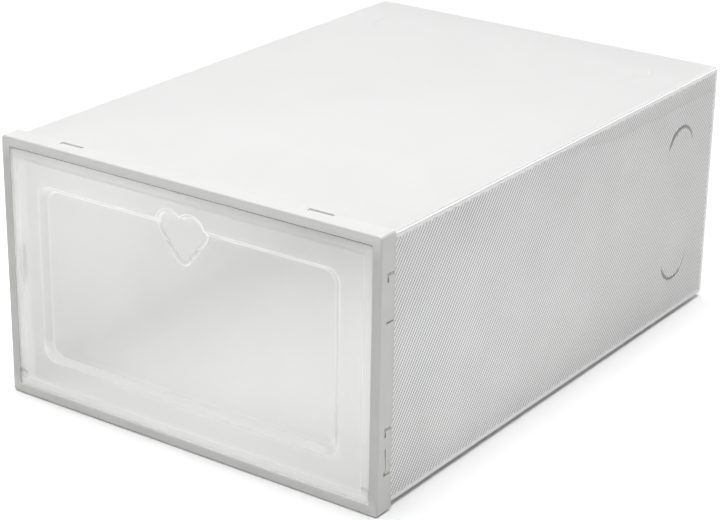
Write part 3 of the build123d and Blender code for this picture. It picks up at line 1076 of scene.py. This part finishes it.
def area_light(name, place, target, size, power):
    data = bpy.data.lights.new(name, "AREA")
    data.shape = "RECTANGLE"
    data.size, data.size_y = size
    data.energy = power
    obj = bpy.data.objects.new(name, data)
    obj.location = place
    obj.rotation_euler = (Vector(target) - Vector(place)).to_track_quat("-Z", "Y").to_euler()
    obj.visible_camera = False
    bpy.context.scene.collection.objects.link(obj)


def studio():
    """A pale floor, soft lights all round and above, a fill light in the box and a dim surround."""
    bm = bmesh.new()
    bmesh.ops.create_grid(bm, x_segments=FLOOR_PARTS, y_segments=FLOOR_PARTS, size=FLOOR_HALF)
    mesh = bpy.data.meshes.new("floor")
    bm.to_mesh(mesh)
    bm.free()
    floor = bpy.data.objects.new("floor", mesh)
    floor.location.z = cad_low.z - FLOOR_DROP
    bpy.context.scene.collection.objects.link(floor)
    dress(floor, studio_floor())
    for name, place, size, power in LIGHTS:
        area_light(name, place, LIGHT_AIM, size, power)
    low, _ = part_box("top_panel")
    area_light("inside_fill", (*FILL_PLACE, low.z - FILL_GAP), (*FILL_PLACE, 0.0), FILL_SIZE, FILL_POWER)
    world = bpy.data.worlds.new("surround")
    bpy.context.scene.world = world
    world.use_nodes = True
    backdrop = world.node_tree.nodes["Background"]
    backdrop.inputs["Color"].default_value = (1.0, 1.0, 1.0, 1.0)
    backdrop.inputs["Strength"].default_value = SURROUND


def camera():
    """The photograph's viewpoint, from its angles round the object's centre."""
    az, el, roll = (math.radians(a) for a in (CAMERA_AZIMUTH, CAMERA_ELEVATION, CAMERA_ROLL))
    forward = Vector((-math.sin(az) * math.cos(el), math.cos(az) * math.cos(el), -math.sin(el)))
    level = Vector((math.cos(az), math.sin(az), 0.0))
    upright = level.cross(forward)
    right = math.cos(roll) * level + math.sin(roll) * upright
    up = math.cos(roll) * upright - math.sin(roll) * level
    centre = (cad_low + cad_high) / 2
    data = bpy.data.cameras.new("camera")
    data.sensor_width = SENSOR_WIDTH
    data.lens = CAMERA_LENS
    data.clip_start, data.clip_end = 0.05, 50.0
    obj = bpy.data.objects.new("camera", data)
    obj.location = centre - forward * CAMERA_DISTANCE + right * CAMERA_SIDEWAYS + up * CAMERA_UP
    obj.rotation_euler = Matrix((right, up, -forward)).transposed().to_euler()
    bpy.context.scene.collection.objects.link(obj)
    bpy.context.scene.camera = obj


# ---------------------------------------------------------------- assembly


def main():
    camera()
    studio()
    bpy.context.scene.view_settings.view_transform = "Standard"
    frame_white = moulded_white()
    # One sheet in copies tinted face by face for how light falls there: painted shade on the outer sides
    # and top, paler copies for the base, folds and inner faces as painted light; the side's wide range
    # also paints shade into the emboss's hollows
    side = sheet_white("sheet_side_plastic", grey(0.36), grey(0.92), 0.26)
    top = sheet_white("sheet_top_plastic", grey(0.69), grey(0.79), 0.30)
    base = sheet_white("sheet_base_plastic", grey(0.80), grey(0.90), 0.06)
    inside = sheet_white("sheet_inside_plastic", grey(0.93), grey(0.975), 0.30)
    floor_inside = sheet_white("sheet_floor_plastic", grey(0.95), grey(0.985), 0.02)
    fold = sheet_white("sheet_fold_plastic", grey(0.86), grey(0.93), 0.20)
    for node, obj in sheet_panels().items():
        outer = {"top_panel": top, "bottom_panel": base}.get(node, side)
        for material in (outer, floor_inside if node == "bottom_panel" else inside):
            obj.data.materials.append(material)
    for hand, word in ((1, "right"), (-1, "left")):
        for is_top, height in ((True, "top"), (False, "bottom")):
            dress(long_crease(f"{height}_{word}_crease", hand, is_top), fold)
    door = clear_door()
    for material in (
        clear_plastic("door_face_plastic", 0.44, 1.0, grey(0.97)),
        clear_plastic("door_back_plastic", 0.02, 0.15, grey(0.94), 0.0),
        # Dark milk for the door's top edge: painted shadow under the frame's lip
        clear_plastic("door_top_edge_painted_shadow", 0.85, 0.5, grey(0.22)),
    ):
        door.data.materials.append(material)
    dress(door_pegs(), clear_plastic("peg_clear_plastic", 0.55, 1.0, grey(0.85)))
    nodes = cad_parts
    dress(nodes["front_frame"], frame_white)
    dress(pocket_tabs(), frame_white)
    soften(nodes["front_frame"], FRAME_BEVEL)
    for name in ("rear_left_crease", "rear_right_crease", "back_bottom_crease", "tuck_crease"):
        dress(nodes[name], fold)
        soften(nodes[name], SHEET_BEVEL)
    for name in ("left_dust_flap", "right_dust_flap", "tuck_flap", "seam_flap"):
        dress(nodes[name], top)
        soften(nodes[name], SHEET_BEVEL)


main()
